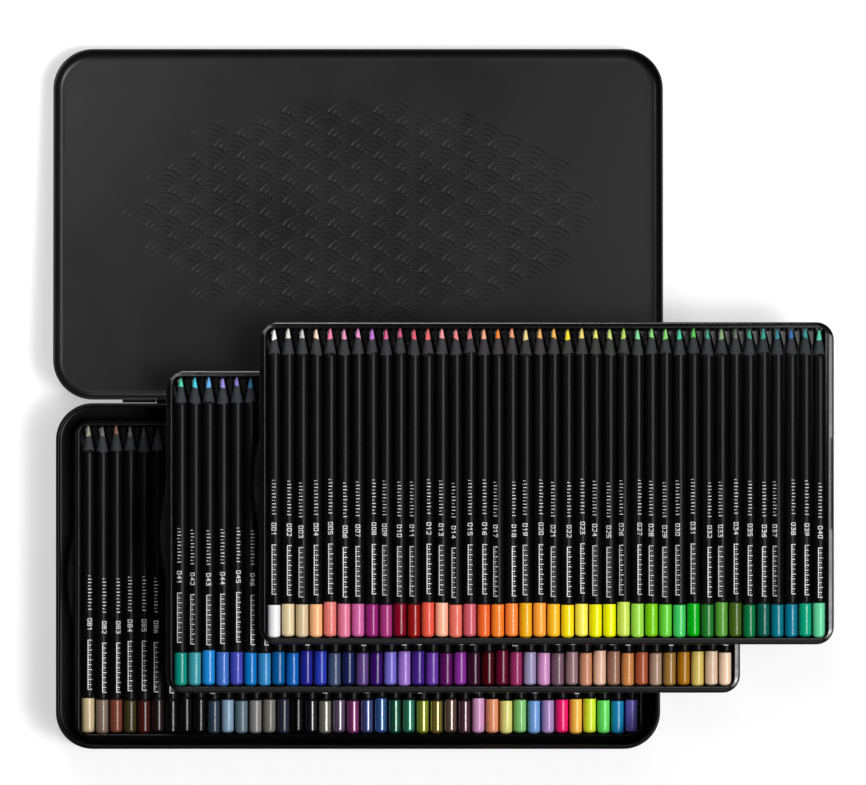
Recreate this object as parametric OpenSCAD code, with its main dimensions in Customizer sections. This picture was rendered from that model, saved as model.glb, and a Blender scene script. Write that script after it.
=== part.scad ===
// Flat hinged metal tin with three lift-out trays of colour pencils, laid open.
//
// The tin stands on z = 0 with the centre of its underside at the origin. +X runs along its long
// side, +Y from the front to the hinges, +Z up. The lid lies open behind the tin with its far edge
// on the table. One tray lies in the tin, the second across the tin's back and right rims, and the
// third across the second, each a step further to the back and right.

/* [Pencil] */
// Length from the butt end to the point
pencil_len = 175; // [150:1:190]
// Diameter of the lacquered barrel
pencil_d = 7.2; // [6.4:0.1:8]
// Diameter of the colour lead
lead_d = 3.5; // [2.8:0.1:4]
// Diameter of the blunt point
point_d = 1.1; // [0.6:0.1:1.6]
// Length of the sharpened cone
cone_len = 14.7; // [11:0.1:18]
// Height of the rounded butt end
dome_len = 2; // [1:0.1:3]
// Wood and lacquer left behind the lead
butt_cover = 1; // [0.6:0.1:2]
// Gap round the lead in its bore
lead_gap = 0.03; // [0.01:0.01:0.05]

/* [Tray] */
// Pencils in one tray
pencils_per_tray = 40; // [36:1:42]
// Gap between neighbouring pencils
pencil_spacing = 0.73; // [0.5:0.01:1.2]
// Gap between a pencil and its channel
channel_gap = 0.15; // [0.1:0.01:0.3]
// Thickness of the formed plastic
tray_sheet = 0.5; // [0.4:0.05:0.8]
// Depth of the ridges' tops below the pencils' axes
ridge_drop = 1; // [0.8:0.1:1.6]
// Room beside the first and last pencil
side_room = 1.3; // [1:0.1:2]
// Room before and behind a pencil
end_room = 0.5; // [0.3:0.05:0.8]
// Share of the end room that the pencils are shifted by
shift_share = 0.7; // [0:0.05:0.9]
// Height of the tray's rim above the pencils
rim_above = 1.15; // [0.5:0.05:2]
// Thickness of the pocket's wall
wall_sheet = 0.6; // [0.5:0.05:0.9]
// Corner radius of the pocket
pocket_corner_r = 4.5; // [2:0.1:4.7]
// Width of the flange round the pocket
flange_w = 3.45; // [2.5:0.05:5]
// Corner radius of the flange's outer edge
tray_corner_r = 10; // [6:0.1:12]
// Fall of the flange to its outer edge
flange_fall = 1.4; // [0.8:0.1:2]
// Height of the lip on the flange's outer edge
lip_h = 1.2; // [0.9:0.1:2]
// Distance from the points to the wedges' broad ends
wedge_start = 3.5; // [2:0.1:5]
// Distance from the points to the wedges' narrow ends
wedge_end = 13; // [10:0.1:13.5]
// Width of a wedge at its broad end
wedge_w = 4.6; // [3:0.1:5]
// Width of a wedge at its narrow end
wedge_point_w = 0.6; // [0.4:0.1:0.8]

/* [Grips] */
// Length of the finger grip in each short side
grip_len = 52; // [40:1:70]
// How far the left grip stands out of the flange
grip_out = 3.3; // [2:0.1:5]
// Height of the left grip's edge above its plate
grip_edge_h = 0.8; // [0.4:0.1:1.2]

/* [Tin] */
// Thickness of the sheet metal
tin_sheet = 0.6; // [0.4:0.05:0.9]
// Room between a tray and the tin's long walls
tray_room_y = 6.2; // [3:0.1:10]
// Room between a tray and the tin's short walls
tray_room_x = 8.1; // [5:0.1:12]
// Corner radius of the tin
tin_corner_r = 21; // [14:1:30]
// Radius of the edge between the floor and the walls
floor_edge_r = 3; // [2:0.1:4]
// Radius of the rolled rim
rim_r = 1.2; // [0.8:0.1:1.6]
// Gap between stacked pieces
seat_gap = 0.3; // [0.2:0.05:0.4]
// Height of the rim above the stack of trays
top_room = 3.5; // [2:0.1:6]

/* [Layout] */
// Offset of the bottom tray to the right
bottom_x = 0.85; // [-1:0.05:2]
// Offset of the bottom tray to the back
bottom_y = -2.3; // [-3:0.1:2]
// Step to the right from one tray to the next
fan_x = 53.1; // [45:0.1:60]
// Step to the back from one tray to the next
fan_y = 27.55; // [22:0.05:32]

/* [Lid] */
// Overlap of the lid's skirt over the tin
lid_overlap = 8; // [6:0.5:10]
// Gap between the tin's wall and the lid's skirt
lid_gap = 0.35; // [0.2:0.05:0.6]
// Height of the lid's inner face above the rim
lid_headroom = 2.7; // [2:0.1:4]
// Outer radius of the edge between the lid's plate and skirt
lid_edge_r = 5; // [4:0.1:6]
// Radius of the lid's rolled hem
hem_r = 0.7; // [0.5:0.05:0.9]
// Gap between the open lid's far edge and the table
lid_table_gap = 0.05; // [0.02:0.01:0.3]

/* [Hinges] */
// Distance from the tin's short side to the hinge's outer end
hinge_inset = 37.8; // [30:0.1:60]
// Length of one of the three knuckles
knuckle_len = 19; // [12:0.5:24]
// Outer radius of the knuckles
knuckle_r = 1.6; // [1.3:0.05:2]
// Radius of the hinge wire
pin_r = 0.75; // [0.5:0.05:0.9]
// Gap round the wire in the knuckles
pin_gap = 0.05; // [0.02:0.01:0.08]
// Gap beside and round the tin's knuckle
knuckle_gap = 0.3; // [0.2:0.05:0.6]
// Thickness of the leaf that carries the tin's knuckle
leaf_t = 0.6; // [0.4:0.05:0.8]

/* [Hidden] */
$fn = 72;

pencil_r = pencil_d / 2;
lead_r = lead_d / 2;
point_r = point_d / 2;
bore_r = lead_r + lead_gap;
cone_slope = (pencil_r - point_r) / cone_len;

channel_r = pencil_r + channel_gap;
axis_z = channel_r + tray_sheet;
ridge_z = axis_z - ridge_drop;
pitch = pencil_d + pencil_spacing;
pocket_w = (pencils_per_tray - 1) * pitch + pencil_d + 2 * side_room;
pocket_d = pencil_len + 2 * end_room;
tray_w = pocket_w + 2 * flange_w;
tray_d = pocket_d + 2 * flange_w;
tray_h = axis_z + pencil_r + rim_above;
lip_top_z = tray_h - flange_fall;
lip_z = lip_top_z - lip_h;
slope_end = wall_sheet + (flange_w - wall_sheet) * (flange_fall + lip_h) / flange_fall;
grip_r = (grip_len * grip_len / 4 + grip_out * grip_out) / (2 * grip_out);

tin_w = tray_w + 2 * tray_room_x + 2 * tin_sheet;
tin_d = tray_d + 2 * tray_room_y + 2 * tin_sheet;
tray_count = 3;
tin_h = tin_sheet + tray_count * (seat_gap + tray_h) + top_room;
tray_z = [tin_sheet + seat_gap, tin_h + seat_gap, tin_h + tray_h + 2 * seat_gap];

hinge_y = tin_d / 2 + knuckle_gap + knuckle_r;
hinge_z = tin_h - lid_overlap;
hinge_len = 3 * knuckle_len;
hinge_x = tin_w / 2 - hinge_inset - hinge_len / 2;

lid_offset = lid_gap + tin_sheet;
lid_w = tin_w + 2 * lid_offset;
lid_d = tin_d + 2 * lid_offset;
lid_corner_r = tin_corner_r + lid_offset;
lid_top_z = tin_h + lid_headroom + tin_sheet;
// The open lid leans down until its far rounded edge lies on the table.
lid_reach_y = lid_d / 2 - lid_edge_r + hinge_y;
lid_reach_z = lid_top_z - lid_edge_r - hinge_z;
lid_drop = hinge_z - lid_edge_r - lid_table_gap;
lid_slope = asin(lid_drop / norm([lid_reach_y, lid_reach_z])) - atan2(lid_reach_z, lid_reach_y);
lid_open = 180 + lid_slope;

lacquer_black = "#15161a";
wood_black = "#3a3b3e";
tin_black = "#1a1b1d";
tray_black = "#0d0e10";
wire_grey = "#8d9095";

// Centre of a tray's underside: 0 is the bottom tray, 1 the middle one, 2 the top one
function tray_place(tray) = [bottom_x + tray * fan_x, bottom_y + tray * fan_y, tray_z[tray]];

// Sideways place of a pencil in its tray, counted from 1 at the left
function pencil_x(number) = (number - (pencils_per_tray + 1) / 2) * pitch;

// Small lengthwise shift of a pencil, different for each, as they lie loose in their channels
function pencil_shift(tray, number) = shift_share * end_room * sin(137.5 * number + 77 * tray);

// Distance from the butt end at which the sharpened cone has a given radius
function cone_at(radius) = pencil_len - (radius - point_r) / cone_slope;

// Flat rectangle with rounded corners, centred
module rounded_rect(w, d, r) {
    square([w - 2 * r, d], center = true);
    square([w, d - 2 * r], center = true);
    for (sx = [-1, 1], sy = [-1, 1])
        translate([sx * (w / 2 - r), sy * (d / 2 - r)])
            circle(r);
}

// Carries a profile round a rounded rectangle. The profile's x is the distance outwards from the
// rectangle's edge and its y is the height.
module ring(w, d, r) {
    for (turn = [0, 180])
        rotate([0, 0, turn]) {
            translate([w / 2, d / 2 - r, 0])
                rotate([90, 0, 0])
                    linear_extrude(d - 2 * r)
                        children();
            translate([-w / 2 + r, d / 2, 0])
                rotate([0, 0, 90])
                    rotate([90, 0, 0])
                        linear_extrude(w - 2 * r)
                            children();
            translate([w / 2 - r, d / 2 - r, 0])
                rotate_extrude(angle = 90)
                    translate([r, 0])
                        children();
            translate([-w / 2 + r, d / 2 - r, 0])
                rotate([0, 0, 90])
                    rotate_extrude(angle = 90)
                        translate([r, 0])
                            children();
        }
}

// Quarter of a round bend of sheet, from straight out to straight up, about the origin. It goes on
// in a short flat strip that overlaps the panel it belongs to.
module bend(r, sheet) {
    intersection() {
        difference() {
            circle(r);
            circle(r - sheet);
        }
        square(r);
    }
    translate([-sheet, r - sheet])
        square(sheet);
}

// Flat panel inside a ring of bends. Its edge lies in the middle of their flat strips.
module panel(w, d, corner_r, edge_r, sheet) {
    inset = edge_r + sheet / 2;
    linear_extrude(sheet)
        rounded_rect(w - 2 * inset, d - 2 * inset, corner_r - inset);
}

// Cylinder along X between two places on the hinge's axis
module on_hinge_axis(x0, x1, r) {
    translate([x0, hinge_y, hinge_z])
        rotate([0, 90, 0])
            cylinder(r = r, h = x1 - x0);
}

// Tin: floor, bent lower edge, walls with a rolled rim, and one knuckle for each hinge
module base_tin() {
    knuckle_half = knuckle_len / 2 - knuckle_gap;
    leaf_z = hinge_z - knuckle_r + leaf_t / 6;
    color(tin_black)
        difference() {
            union() {
                panel(tin_w, tin_d, tin_corner_r, floor_edge_r, tin_sheet);
                ring(tin_w, tin_d, tin_corner_r) {
                    translate([-floor_edge_r, floor_edge_r])
                        mirror([0, 1])
                            bend(floor_edge_r, tin_sheet);
                    translate([-tin_sheet, floor_edge_r])
                        square([tin_sheet, tin_h - floor_edge_r - rim_r]);
                    translate([-rim_r, tin_h - rim_r])
                        circle(rim_r);
                }
                for (side = [-1, 1]) {
                    on_hinge_axis(side * hinge_x - knuckle_half, side * hinge_x + knuckle_half,
                                  knuckle_r);
                    translate([side * hinge_x - knuckle_half, tin_d / 2 - tin_sheet / 2, leaf_z])
                        cube([2 * knuckle_half, hinge_y - tin_d / 2 + tin_sheet / 2, leaf_t]);
                }
            }
            for (side = [-1, 1])
                on_hinge_axis(side * hinge_x - knuckle_len, side * hinge_x + knuckle_len,
                              pin_r + pin_gap);
        }
}

// Lid as it closes over the tin: plate, bent edge, skirt with a rolled hem, and two knuckles for
// each hinge with a gap between them for the tin's knuckle
module closed_lid() {
    difference() {
        union() {
            translate([0, 0, lid_top_z - tin_sheet])
                panel(lid_w, lid_d, lid_corner_r, lid_edge_r, tin_sheet);
            ring(lid_w, lid_d, lid_corner_r) {
                translate([-lid_edge_r, lid_top_z - lid_edge_r])
                    bend(lid_edge_r, tin_sheet);
                translate([-tin_sheet, hinge_z + hem_r])
                    square([tin_sheet, lid_top_z - lid_edge_r - hinge_z - hem_r]);
                translate([hem_r - tin_sheet, hinge_z + hem_r])
                    circle(hem_r);
            }
            for (side = [-1, 1])
                on_hinge_axis(side * hinge_x - hinge_len / 2, side * hinge_x + hinge_len / 2,
                              knuckle_r);
        }
        for (side = [-1, 1]) {
            on_hinge_axis(side * hinge_x - hinge_len, side * hinge_x + hinge_len,
                          pin_r + pin_gap);
            on_hinge_axis(side * hinge_x - knuckle_len / 2, side * hinge_x + knuckle_len / 2,
                          knuckle_r + knuckle_gap);
        }
    }
}

// The same lid, folded open about the hinges' axis
module lid_shell() {
    color(tin_black)
        translate([0, hinge_y, hinge_z])
            rotate([-lid_open, 0, 0])
                translate([0, -hinge_y, -hinge_z])
                    closed_lid();
}

// Wire through the three knuckles of one hinge: side is -1 on the left and 1 on the right
module hinge_pin(side) {
    color(wire_grey)
        on_hinge_axis(side * hinge_x - hinge_len / 2, side * hinge_x + hinge_len / 2, pin_r);
}

// Cross-section of the tray's floor: round channels with ridges between them and a land at each side
module channel_section() {
    land_end = pocket_w / 2 + wall_sheet;
    difference() {
        union() {
            intersection() {
                for (number = [1 : pencils_per_tray])
                    translate([pencil_x(number), axis_z])
                        circle(channel_r + tray_sheet);
                translate([-pocket_w / 2, -ridge_z])
                    square([pocket_w, 2 * ridge_z]);
            }
            for (side = [-1, 1])
                translate([side * (land_end + pencil_x(pencils_per_tray)) / 2,
                           ridge_z - tray_sheet / 2])
                    square([land_end - pencil_x(pencils_per_tray), tray_sheet], center = true);
        }
        for (number = [1 : pencils_per_tray])
            translate([pencil_x(number), axis_z])
                circle(channel_r);
    }
}

// Plan of the wedge that fills the space between two points
module wedge_plan() {
    back = pocket_d / 2 - end_room;
    polygon([
        [-wedge_w / 2, back - wedge_start],
        [wedge_w / 2, back - wedge_start],
        [wedge_point_w / 2, back - wedge_end],
        [-wedge_point_w / 2, back - wedge_end],
    ]);
}

// Cross-section of the pocket's wall, outwards from the pocket's edge
module wall_section() {
    translate([0, tray_sheet / 2])
        square([wall_sheet, tray_h - tray_sheet / 2]);
}

// What lies under the slope of the flange, or under a slope a given drop below it
module under_slope(drop) {
    ring(pocket_w, pocket_d, pocket_corner_r)
        polygon([
            [0, lip_z - drop],
            [0, tray_h - drop],
            [wall_sheet, tray_h - drop],
            [slope_end, lip_z - drop],
        ]);
}

// Block with the outline of the flange's outer edge, moved inwards
module outline_block(inset) {
    linear_extrude(tray_h)
        rounded_rect(tray_w - 2 * inset, tray_d - 2 * inset, tray_corner_r - inset);
}

// Sloping flange with a lip on its outer edge, open underneath
module flange() {
    difference() {
        intersection() {
            under_slope(0);
            outline_block(0);
        }
        intersection() {
            under_slope(wall_sheet);
            outline_block(wall_sheet);
        }
    }
}

// Left finger grip: a flat plate bulging out of the flange with a raised edge
module left_grip() {
    plate_w = grip_out + wall_sheet / 2;
    translate([-tray_w / 2 - grip_out + grip_r, 0, lip_z])
        intersection() {
            difference() {
                cylinder(r = grip_r, h = wall_sheet + grip_edge_h, $fn = 360);
                translate([0, 0, wall_sheet])
                    cylinder(r = grip_r - wall_sheet, h = wall_sheet + grip_edge_h, $fn = 360);
            }
            translate([-grip_r, -grip_len, 0])
                cube([plate_w, 2 * grip_len, wall_sheet + grip_edge_h]);
        }
}

// Formed tray about the centre of its underside
module tray() {
    color(tray_black) {
        ring(pocket_w, pocket_d, pocket_corner_r)
            wall_section();
        difference() {
            flange();
            translate([pocket_w / 2 + wall_sheet, -grip_len / 2, lip_z + wall_sheet])
                cube([flange_w, grip_len, tray_h]);
        }
        translate([(pocket_w + wall_sheet) / 2, -grip_len / 2, lip_z])
            cube([flange_w - wall_sheet / 2, grip_len, wall_sheet]);
        left_grip();
        intersection() {
            translate([0, pocket_d / 2 + wall_sheet, 0])
                rotate([90, 0, 0])
                    linear_extrude(pocket_d + 2 * wall_sheet)
                        channel_section();
            linear_extrude(tray_h)
                rounded_rect(pocket_w + wall_sheet, pocket_d + wall_sheet,
                             pocket_corner_r + wall_sheet / 2);
        }
        for (number = [1 : pencils_per_tray - 1])
            translate([pencil_x(number) + pitch / 2, 0, tray_sheet])
                linear_extrude(ridge_z - tray_sheet)
                    wedge_plan();
    }
}

// Lays what is drawn along +Z, from the butt end up, into the channels of one tray
module in_channels(tray, first, last) {
    for (number = [first : last])
        translate(tray_place(tray) + [pencil_x(number), pencil_shift(tray, number), axis_z])
            translate([0, -pencil_len / 2, 0])
                rotate([-90, 0, 0])
                    children();
}

// Wooden barrels with a blind bore for the lead, a rounded butt end and a sharpened cone
module barrels(tray, first, last) {
    butt = [for (turn = [0 : 15 : 90]) [pencil_r * sin(turn), dome_len * (1 - cos(turn))]];
    color(lacquer_black)
        in_channels(tray, first, last)
            rotate_extrude()
                polygon(concat(butt, [
                    [pencil_r, pencil_len - cone_len],
                    [bore_r, cone_at(bore_r)],
                    [bore_r, butt_cover],
                    [0, butt_cover],
                ]));
}

// Colour leads, sharpened with the barrels
module leads(tray, first, last) {
    color(wood_black)
        in_channels(tray, first, last)
            rotate_extrude()
                polygon([
                    [0, butt_cover + lead_gap],
                    [lead_r, butt_cover + lead_gap],
                    [lead_r, cone_at(lead_r)],
                    [point_r, pencil_len],
                    [0, pencil_len],
                ]);
}

base_tin();
lid_shell();
hinge_pin(-1);  // hinge_pin_left
hinge_pin(1);  // hinge_pin_right
translate(tray_place(0)) tray();  // bottom_tray
translate(tray_place(1)) tray();  // middle_tray
translate(tray_place(2)) tray();  // top_tray
barrels(0, 1, 1);  // bottom_barrel_01
barrels(0, 2, 10);  // bottom_barrels_02_10
barrels(0, 11, 20);  // bottom_barrels_11_20
barrels(0, 21, 30);  // bottom_barrels_21_30
barrels(0, 31, pencils_per_tray);  // bottom_barrels_31_40
leads(0, 1, 1);  // bottom_lead_01
leads(0, 2, 10);  // bottom_leads_02_10
leads(0, 11, 20);  // bottom_leads_11_20
leads(0, 21, 30);  // bottom_leads_21_30
leads(0, 31, pencils_per_tray);  // bottom_leads_31_40
barrels(1, 1, 1);  // middle_barrel_01
barrels(1, 2, 10);  // middle_barrels_02_10
barrels(1, 11, 20);  // middle_barrels_11_20
barrels(1, 21, 30);  // middle_barrels_21_30
barrels(1, 31, pencils_per_tray);  // middle_barrels_31_40
leads(1, 1, 1);  // middle_lead_01
leads(1, 2, 10);  // middle_leads_02_10
leads(1, 11, 20);  // middle_leads_11_20
leads(1, 21, 30);  // middle_leads_21_30
leads(1, 31, pencils_per_tray);  // middle_leads_31_40
barrels(2, 1, 1);  // top_barrel_01
barrels(2, 2, 10);  // top_barrels_02_10
barrels(2, 11, 20);  // top_barrels_11_20
barrels(2, 21, 30);  // top_barrels_21_30
barrels(2, 31, pencils_per_tray);  // top_barrels_31_40
leads(2, 1, 1);  // top_lead_01
leads(2, 2, 10);  // top_leads_02_10
leads(2, 11, 20);  // top_leads_11_20
leads(2, 21, 30);  // top_leads_21_30
leads(2, 31, pencils_per_tray);  // top_leads_31_40
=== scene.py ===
import math
import random

import bmesh
import bpy
from mathutils import Matrix, Vector


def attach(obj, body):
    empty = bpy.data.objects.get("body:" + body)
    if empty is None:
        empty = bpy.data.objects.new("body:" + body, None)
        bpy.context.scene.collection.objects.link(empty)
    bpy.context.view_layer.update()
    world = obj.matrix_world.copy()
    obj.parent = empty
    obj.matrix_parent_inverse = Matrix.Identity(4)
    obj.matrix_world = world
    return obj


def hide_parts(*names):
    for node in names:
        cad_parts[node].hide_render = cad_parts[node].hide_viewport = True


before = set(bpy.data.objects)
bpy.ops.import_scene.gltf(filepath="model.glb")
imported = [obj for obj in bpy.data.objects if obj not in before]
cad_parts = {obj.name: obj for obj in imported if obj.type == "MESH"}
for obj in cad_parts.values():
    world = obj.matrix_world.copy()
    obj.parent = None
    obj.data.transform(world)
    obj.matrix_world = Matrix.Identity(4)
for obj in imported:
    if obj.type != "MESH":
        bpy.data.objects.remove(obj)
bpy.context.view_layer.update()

# ---------------------------------------------------------------------------------------------
# Tin base. A shallow box pressed from tinplate, with its rim rolled inwards and one knuckle for
# each hinge curled from a leaf on the back wall. Satin black stove paint inside and out, its black
# set darker than the lid's as painted shade for the deep inside of the tin.
# ---------------------------------------------------------------------------------------------
MM = 0.001                       # sizes are in millimetres until a mesh is formed
TIN_W, TIN_D, TIN_H = 343.37, 196.5, 32
TIN_CORNER = 21
SHEET = 0.6
FLOOR_EDGE = 3
RIM_R = 1.2
RIM_CURL = 235                   # degrees that the rim turns inwards
HINGE_X, HINGE_Y, HINGE_Z = 105.385, 100.15, 24
KNUCKLE_LEN = 19
KNUCKLE_R = 1.6
KNUCKLE_BORE = 0.8
KNUCKLE_GAP = 0.3
KNUCKLE_CURL = 205               # degrees where the curl ends, from the axis pointing back
FLAT_STRIP = 1.5                 # narrow strips beside each bend, which keep its shading off flats
CORNER_STEPS = 16
PATCHES, MOTTLE, PEEL = 22, 60, 1400     # cells of the paint's unevenness to the metre
PEEL_DEPTH = 0.00002


def rounded(width, depth, radius, steps):
    """Points and outward normals round a rounded rectangle, anticlockwise from its right side."""
    found = []
    for quarter, (sx, sy) in enumerate(((1, 1), (-1, 1), (-1, -1), (1, -1))):
        centre = Vector((sx * (width / 2 - radius), sy * (depth / 2 - radius), 0))
        for step in range(steps + 1):
            turn = math.radians(90) * (quarter + step / steps)
            normal = Vector((math.cos(turn), math.sin(turn), 0))
            found.append((centre + normal * radius, normal))
    return found


def arc(centre, radius, first, last, steps):
    """Points of an arc in a cross-section, by angle in degrees."""
    turns = [math.radians(first + (last - first) * k / steps) for k in range(steps + 1)]
    return [(centre[0] + radius * math.cos(t), centre[1] + radius * math.sin(t)) for t in turns]


def carried(edge, section):
    """A cross-section, as distances outwards and heights, at each place of an outline."""
    return [[(p.x + n.x * s, p.y + n.y * s, z) for s, z in section] for p, n in edge]


def loft(stations, closed=True, ring=True):
    """Skin over cross-sections. A ring of open ones gets a panel over each end of them, and a
    row of closed ones gets a cap at each end of the row."""
    count, around = len(stations[0]), len(stations)
    verts = [point for station in stations for point in station]
    faces = []
    for k in range(around if ring else around - 1):
        here, there = k * count, (k + 1) % around * count
        for i in range(count if closed else count - 1):
            j = (i + 1) % count
            faces.append((here + i, there + i, there + j, here + j))
    if not closed:
        faces.append(tuple(k * count for k in range(around)))
        faces.append(tuple(k * count + count - 1 for k in range(around)))
    if not ring:
        faces.append(tuple(range(count)))
        faces.append(tuple(range((around - 1) * count, around * count)))
    return verts, faces


def knuckle(x0, x1, leaf, up):
    """The end of a leaf of sheet curled round the hinge wire. The leaf runs forwards from the
    wire, below it or, with up = 1, above it."""
    steps = 20
    section = arc((0, 0), KNUCKLE_R, -90, KNUCKLE_CURL, steps)
    section += arc((0, 0), KNUCKLE_BORE, KNUCKLE_CURL, -90, steps)
    section += [(-leaf, -KNUCKLE_BORE), (-leaf, -KNUCKLE_R)]
    count, last = len(section), 2 * steps + 1
    verts = [(x, HINGE_Y + y, HINGE_Z - up * z) for x in (x0, x1) for y, z in section]
    faces = [(i, (i + 1) % count, count + (i + 1) % count, count + i) for i in range(count)]
    for end in (0, count):
        faces += [(end + i, end + i + 1, end + last - i - 1, end + last - i)
                  for i in range(steps)]
        faces.append((end, end + last, end + last + 1, end + last + 2))
    return verts, faces


def formed(name, parts, sharp=35, turned=None):
    """A mesh in millimetres made of closed parts, its faces outwards, as an object in metres."""
    mesh = bpy.data.meshes.new(name)
    verts, faces = [], []
    for more_verts, more_faces in parts:
        faces += [tuple(len(verts) + i for i in face) for face in more_faces]
        verts += more_verts
    mesh.from_pydata(verts, [], faces)
    if turned is not None:
        mesh.transform(turned)
    mesh.transform(Matrix.Scale(MM, 4))
    work = bmesh.new()
    work.from_mesh(mesh)
    bmesh.ops.recalc_face_normals(work, faces=work.faces)
    work.to_mesh(mesh)
    work.free()
    mesh.shade_smooth()
    mesh.set_sharp_from_angle(angle=math.radians(sharp))
    return bpy.data.objects.new(name, mesh)


def fitted(piece, body, nodes, slot, *finishes):
    """Puts a piece in the scene with its finishes, and ties it to the frame."""
    bpy.context.scene.collection.objects.link(piece)
    for finish in finishes:
        piece.data.materials.append(finish)
    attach(piece, body)
    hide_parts(*nodes)


def add(tree, kind, sockets=(), **settings):
    """A node with its settings, and with values or links on its inputs."""
    node = tree.nodes.new(kind)
    for name, value in settings.items():
        setattr(node, name, value)
    for name, value in dict(sockets).items():
        if isinstance(value, bpy.types.NodeSocket):
            tree.links.new(value, node.inputs[name])
        else:
            node.inputs[name].default_value = value
    return node


def new_finish(name, **values):
    """A material and its shader, with the values that are the same all over the surface."""
    made = bpy.data.materials.new(name)
    made.use_nodes = True
    shader = made.node_tree.nodes["Principled BSDF"]
    for socket, value in values.items():
        shader.inputs[socket.replace("_", " ")].default_value = value
    return made, made.node_tree, shader


def clouds(tree, scale, detail=2.0, stretch=(1, 1, 1)):
    """Noise on Object coordinates, with so many cells to the metre."""
    place = add(tree, "ShaderNodeTexCoord")
    mapping = add(tree, "ShaderNodeMapping", {"Vector": place.outputs["Object"], "Scale": stretch})
    return add(tree, "ShaderNodeTexNoise", {
        "Vector": mapping.outputs[0], "Scale": scale, "Detail": detail}).outputs[0]


def between(tree, factor, low, high, start=0.35, end=0.65):
    """A factor spread over a range of values."""
    return add(tree, "ShaderNodeMapRange", {
        "Value": factor, "From Min": start, "From Max": end, "To Min": low,
        "To Max": high}).outputs[0]


def blend(tree, factor, low, high):
    """Two colours mixed by a factor."""
    first, second, result = 6, 7, 2
    sockets = {0: factor, first: low, second: high}
    return add(tree, "ShaderNodeMix", sockets, data_type="RGBA").outputs[result]


def raised(tree, height, depth, shader):
    """Bump of a depth in metres on a shader."""
    node = add(tree, "ShaderNodeBump", {"Height": height, "Distance": depth})
    tree.links.new(node.outputs[0], shader.inputs["Normal"])


def stove_paint(name, smooth, rough, level, gloss):
    """Black paint: roughness from smooth to rough in patches, fine orange peel, and a slightly
    uneven black round a level."""
    made, tree, shader = new_finish(name, IOR=1.5, Specular_IOR_Level=gloss)
    tree.links.new(between(tree, clouds(tree, PATCHES, 4), smooth, rough),
                   shader.inputs["Roughness"])
    dark, pale = ((*(share * level for share in shares), 1)
                  for shares in ((0.75, 0.76, 0.8), (1.2, 1.15, 1.2)))
    tree.links.new(blend(tree, clouds(tree, MOTTLE, 3), dark, pale), shader.inputs["Base Color"])
    raised(tree, clouds(tree, PEEL, 1), PEEL_DEPTH, shader)
    return made


base_section = [(-FLOOR_EDGE - FLAT_STRIP, 0)]
base_section += arc((-FLOOR_EDGE, FLOOR_EDGE), FLOOR_EDGE, -90, 0, 6)
base_section += [(0, FLOOR_EDGE + FLAT_STRIP), (0, TIN_H - RIM_R - FLAT_STRIP)]
base_section += arc((-RIM_R, TIN_H - RIM_R), RIM_R, 0, RIM_CURL, 14)
base_section += [(-SHEET, TIN_H - 2.6 * RIM_R), (-SHEET, FLOOR_EDGE + FLAT_STRIP)]
base_section += arc((-FLOOR_EDGE, FLOOR_EDGE), FLOOR_EDGE - SHEET, 0, -90, 6)
base_section += [(-FLOOR_EDGE - FLAT_STRIP, SHEET)]
tin_parts = [loft(carried(rounded(TIN_W, TIN_D, TIN_CORNER, CORNER_STEPS), base_section),
                  closed=False)]
for side in (-1, 1):
    half = KNUCKLE_LEN / 2 - KNUCKLE_GAP
    tin_parts.append(knuckle(side * HINGE_X - half, side * HINGE_X + half,
                             HINGE_Y - TIN_D / 2 + SHEET / 2, up=-1))
# The tin's black level, 0.0015, is painted shade: four times darker than the lid's same paint,
# standing for the shade deep inside the tin.
fitted(formed("tin", tin_parts), "tin", ["base_tin"], "tin_metal",
       stove_paint("tin_paint_darkened_for_shade", 0.28, 0.36, 0.0015, 0.11))

# ---------------------------------------------------------------------------------------------
# Lid. The same tinplate, more rounded at its edge, with its hem rolled outwards and two knuckles
# for each hinge. It lies open behind the tin on its outer face. Satin black stove paint.
# ---------------------------------------------------------------------------------------------
LID_W, LID_D, LID_H = 345.27, 198.4, 35.3
LID_CORNER = 21.95
LID_EDGE = 5
HEM_R = 0.7
TABLE_GAP = 0.05                 # air under the opened lid's far edge

reach = Vector((LID_D / 2 - LID_EDGE + HINGE_Y, LID_H - LID_EDGE - HINGE_Z))
fold = math.radians(180) + math.asin((HINGE_Z - LID_EDGE - TABLE_GAP) / reach.length)
fold -= math.atan2(reach.y, reach.x)
hinge = Matrix.Translation((0, HINGE_Y, HINGE_Z))
opened = hinge @ Matrix.Rotation(-fold, 4, "X") @ hinge.inverted()

lid_paint = stove_paint("lid_paint", 0.3, 0.38, 0.006, 0.25)
lid_section = [(-LID_EDGE - FLAT_STRIP, LID_H)]
lid_section += arc((-LID_EDGE, LID_H - LID_EDGE), LID_EDGE, 90, 0, 8)
lid_section += arc((HEM_R - SHEET, HINGE_Z + HEM_R), HEM_R, 100, -180, 12)
lid_section += arc((-LID_EDGE, LID_H - LID_EDGE), LID_EDGE - SHEET, 0, 90, 8)
lid_section += [(-LID_EDGE - FLAT_STRIP, LID_H - SHEET)]
lid_parts = [loft(carried(rounded(LID_W, LID_D, LID_CORNER, CORNER_STEPS), lid_section),
                  closed=False)]
for side in (-1, 1):
    for end in (-1, 1):
        first, last = sorted((end * KNUCKLE_LEN / 2, end * 1.5 * KNUCKLE_LEN))
        lid_parts.append(knuckle(side * HINGE_X + first, side * HINGE_X + last,
                                 HINGE_Y - LID_D / 2 + SHEET, up=1))
fitted(formed("lid", lid_parts, turned=opened), "lid", ["lid_shell"], "tin_metal", lid_paint)

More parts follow.
